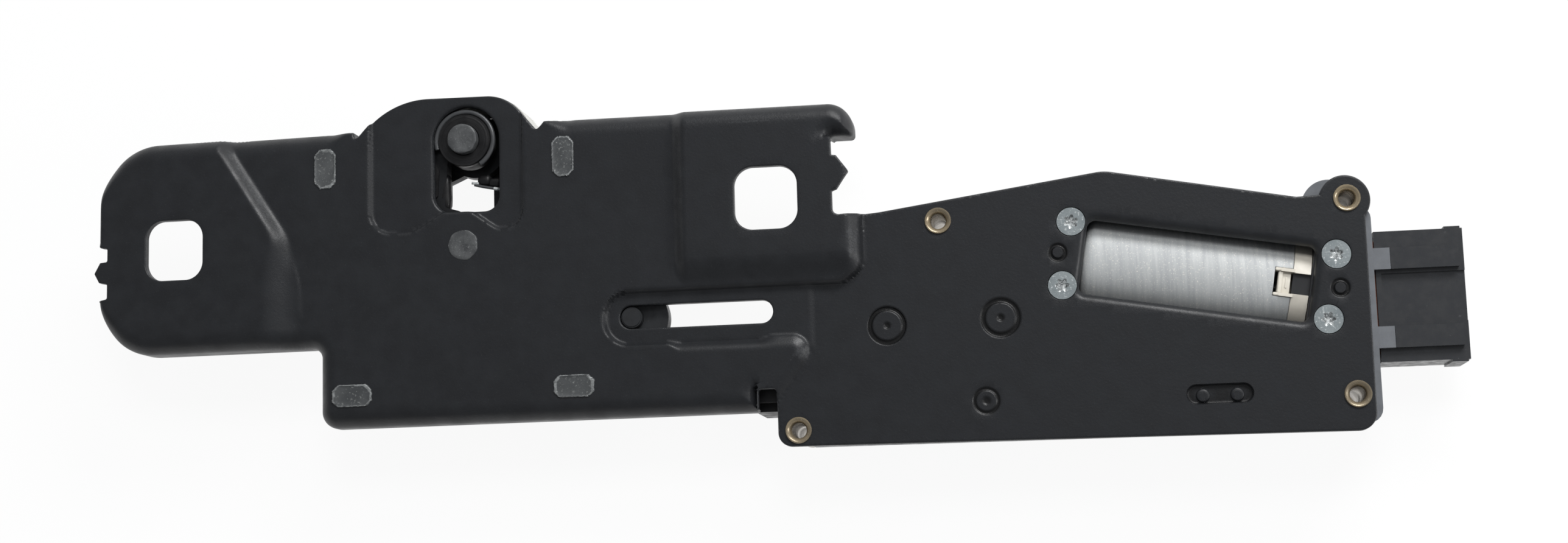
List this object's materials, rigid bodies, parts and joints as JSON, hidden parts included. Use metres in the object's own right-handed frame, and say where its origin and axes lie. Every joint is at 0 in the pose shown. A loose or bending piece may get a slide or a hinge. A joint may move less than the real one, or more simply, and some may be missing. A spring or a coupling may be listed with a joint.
{
  "type": "tailgate latch drive",
  "caption": "Pressed-steel carrier with a rotary tailgate latch at one end, a worm-geared electric motor at the other, and a slotted rack bar that joins them.",
  "frame": {"origin": "centre of the inner square fixing hole, on the front face of the ear around it", "axes": "+X along the carrier to the connector, +Y up the carrier to the dome over the latch, +Z out of the front face"},
  "size_m": [0.3991, 0.1088, 0.039],
  "materials": {
    "black_coat": "satin black coating on pressed steel, rolled edges, faint handling marks",
    "dark_steel": "dark phosphated steel",
    "bare_steel": "plain steel, lightly oiled",
    "spring_steel": "drawn spring wire",
    "zinc": "bright zinc plating",
    "zinc_can": "drawn and plated motor can, fine lengthwise grain",
    "iron": "dark laminated iron and ferrite",
    "brass": "plain brass or bronze",
    "brass_sleeve": "yellow-zinc sleeve with a bright worn lip",
    "black_plastic": "glass-filled black plastic",
    "black_rubber": "black rubber or soft plastic",
    "seal_rubber": "red-brown sealing rubber",
    "grey_plastic": "moulded mid-grey plastic",
    "connector_plastic": "dark grey moulded plastic",
    "pale_plastic": "pale natural plastic",
    "cream_plastic": "cream acetal plastic",
    "red_wire": "insulated wire"
  },
  "bodies": {
    "carrier": {"carrier_plate": "black_coat", "latch_back_plate": "dark_steel", "latch_frame": "pale_plastic", "latch_rear_cover": "black_plastic", "latch_cover_screws": "zinc", "catch_pivot_pin": "dark_steel", "pawl_pivot_stud": "dark_steel", "catch_spring": "spring_steel", "pawl_spring": "spring_steel", "catch_switch": "black_plastic", "pawl_switch": "black_plastic", "switch_lead": "black_rubber", "lead_grommet": "black_rubber", "rack_guide": "pale_plastic", "gear_housing": "grey_plastic", "output_axle": "bare_steel", "worm_wheel_axle": "bare_steel", "support_post": "bare_steel", "worm_end_bearing": "cream_plastic", "motor_can": "zinc_can", "motor_magnets": "iron", "motor_front_bearing": "brass", "motor_end_cap": "cream_plastic", "motor_brushes": "iron", "motor_rear_bearing": "brass", "front_motor_bracket": "black_plastic", "rear_motor_bracket": "black_plastic", "motor_leads": "red_wire", "terminal_carrier": "black_plastic", "connector_shell": "connector_plastic", "connector_terminals": "brass", "connector_seal": "seal_rubber", "carrier_screws": "zinc", "bush_sleeves": "brass_sleeve"},
    "motor_shaft_set": {"motor_shaft": "bare_steel", "worm": "brass", "motor_rotor": "iron", "motor_commutator": "brass"},
    "worm_wheel_set": {"worm_wheel": "cream_plastic"},
    "output_gear_set": {"output_gear": "cream_plastic"},
    "slide": {"slot_pin": "dark_steel", "drive_rack": "bare_steel", "pull_link": "bare_steel"},
    "lever": {"closing_lever": "dark_steel", "closing_lever_pin": "zinc"},
    "catch": {"rotary_catch": "bare_steel", "catch_jacket": "black_rubber"},
    "pawl_body": {"pawl": "bare_steel"}
  },
  "joints": [
    {"name": "motor_spin", "type": "hinge", "parent": "carrier", "child": "motor_shaft_set", "pos_m": [0.06947, -0.01693, -0.02245], "axis": [0.9848, -0.1736, 0], "range_deg": [0, 24805.25]},
    {"name": "worm_wheel_spin", "type": "hinge", "parent": "carrier", "child": "worm_wheel_set", "pos_m": [0.06589, -0.03725, -0.02245], "axis": [0, 0, 1], "range_deg": [-0.5, 730.17]},
    {"name": "output_gear_spin", "type": "hinge", "parent": "carrier", "child": "output_gear_set", "pos_m": [0.0334, -0.0381, -0.015], "axis": [0, 0, 1], "range_deg": [-182.89, 0.5]},
    {"name": "drive_slide", "type": "slide", "parent": "carrier", "child": "slide", "axis": [1, 0, 0], "range_m": [0, 0.0383]},
    {"name": "closing_lever_hinge", "type": "hinge", "parent": "carrier", "child": "lever", "pos_m": [-0.0904, 0.0228, -0.0208], "axis": [0, 0, 1], "range_deg": [0, 41]},
    {"name": "catch_hinge", "type": "hinge", "parent": "carrier", "child": "catch", "pos_m": [-0.0904, 0.0228, -0.0107], "axis": [0, 0, 1], "range_deg": [0, 41]},
    {"name": "pawl_hinge", "type": "hinge", "parent": "carrier", "child": "pawl_body", "pos_m": [-0.0904, -0.009, -0.0107], "axis": [0, 0, 1], "range_deg": [-8, 0]}
  ],
  "couplings": [
    {"joint": "worm_wheel_spin", "follows": "motor_spin", "ratio": 0.029412},
    {"joint": "output_gear_spin", "follows": "motor_spin", "ratio": -0.0073529},
    {"joint": "drive_slide", "follows": "motor_spin", "m_per_rad": 0.000088235},
    {"joint": "closing_lever_hinge", "follows": "motor_spin", "ratio": 0.0016448},
    {"joint": "catch_hinge", "follows": "motor_spin", "ratio": 0.0016448}
  ]
}
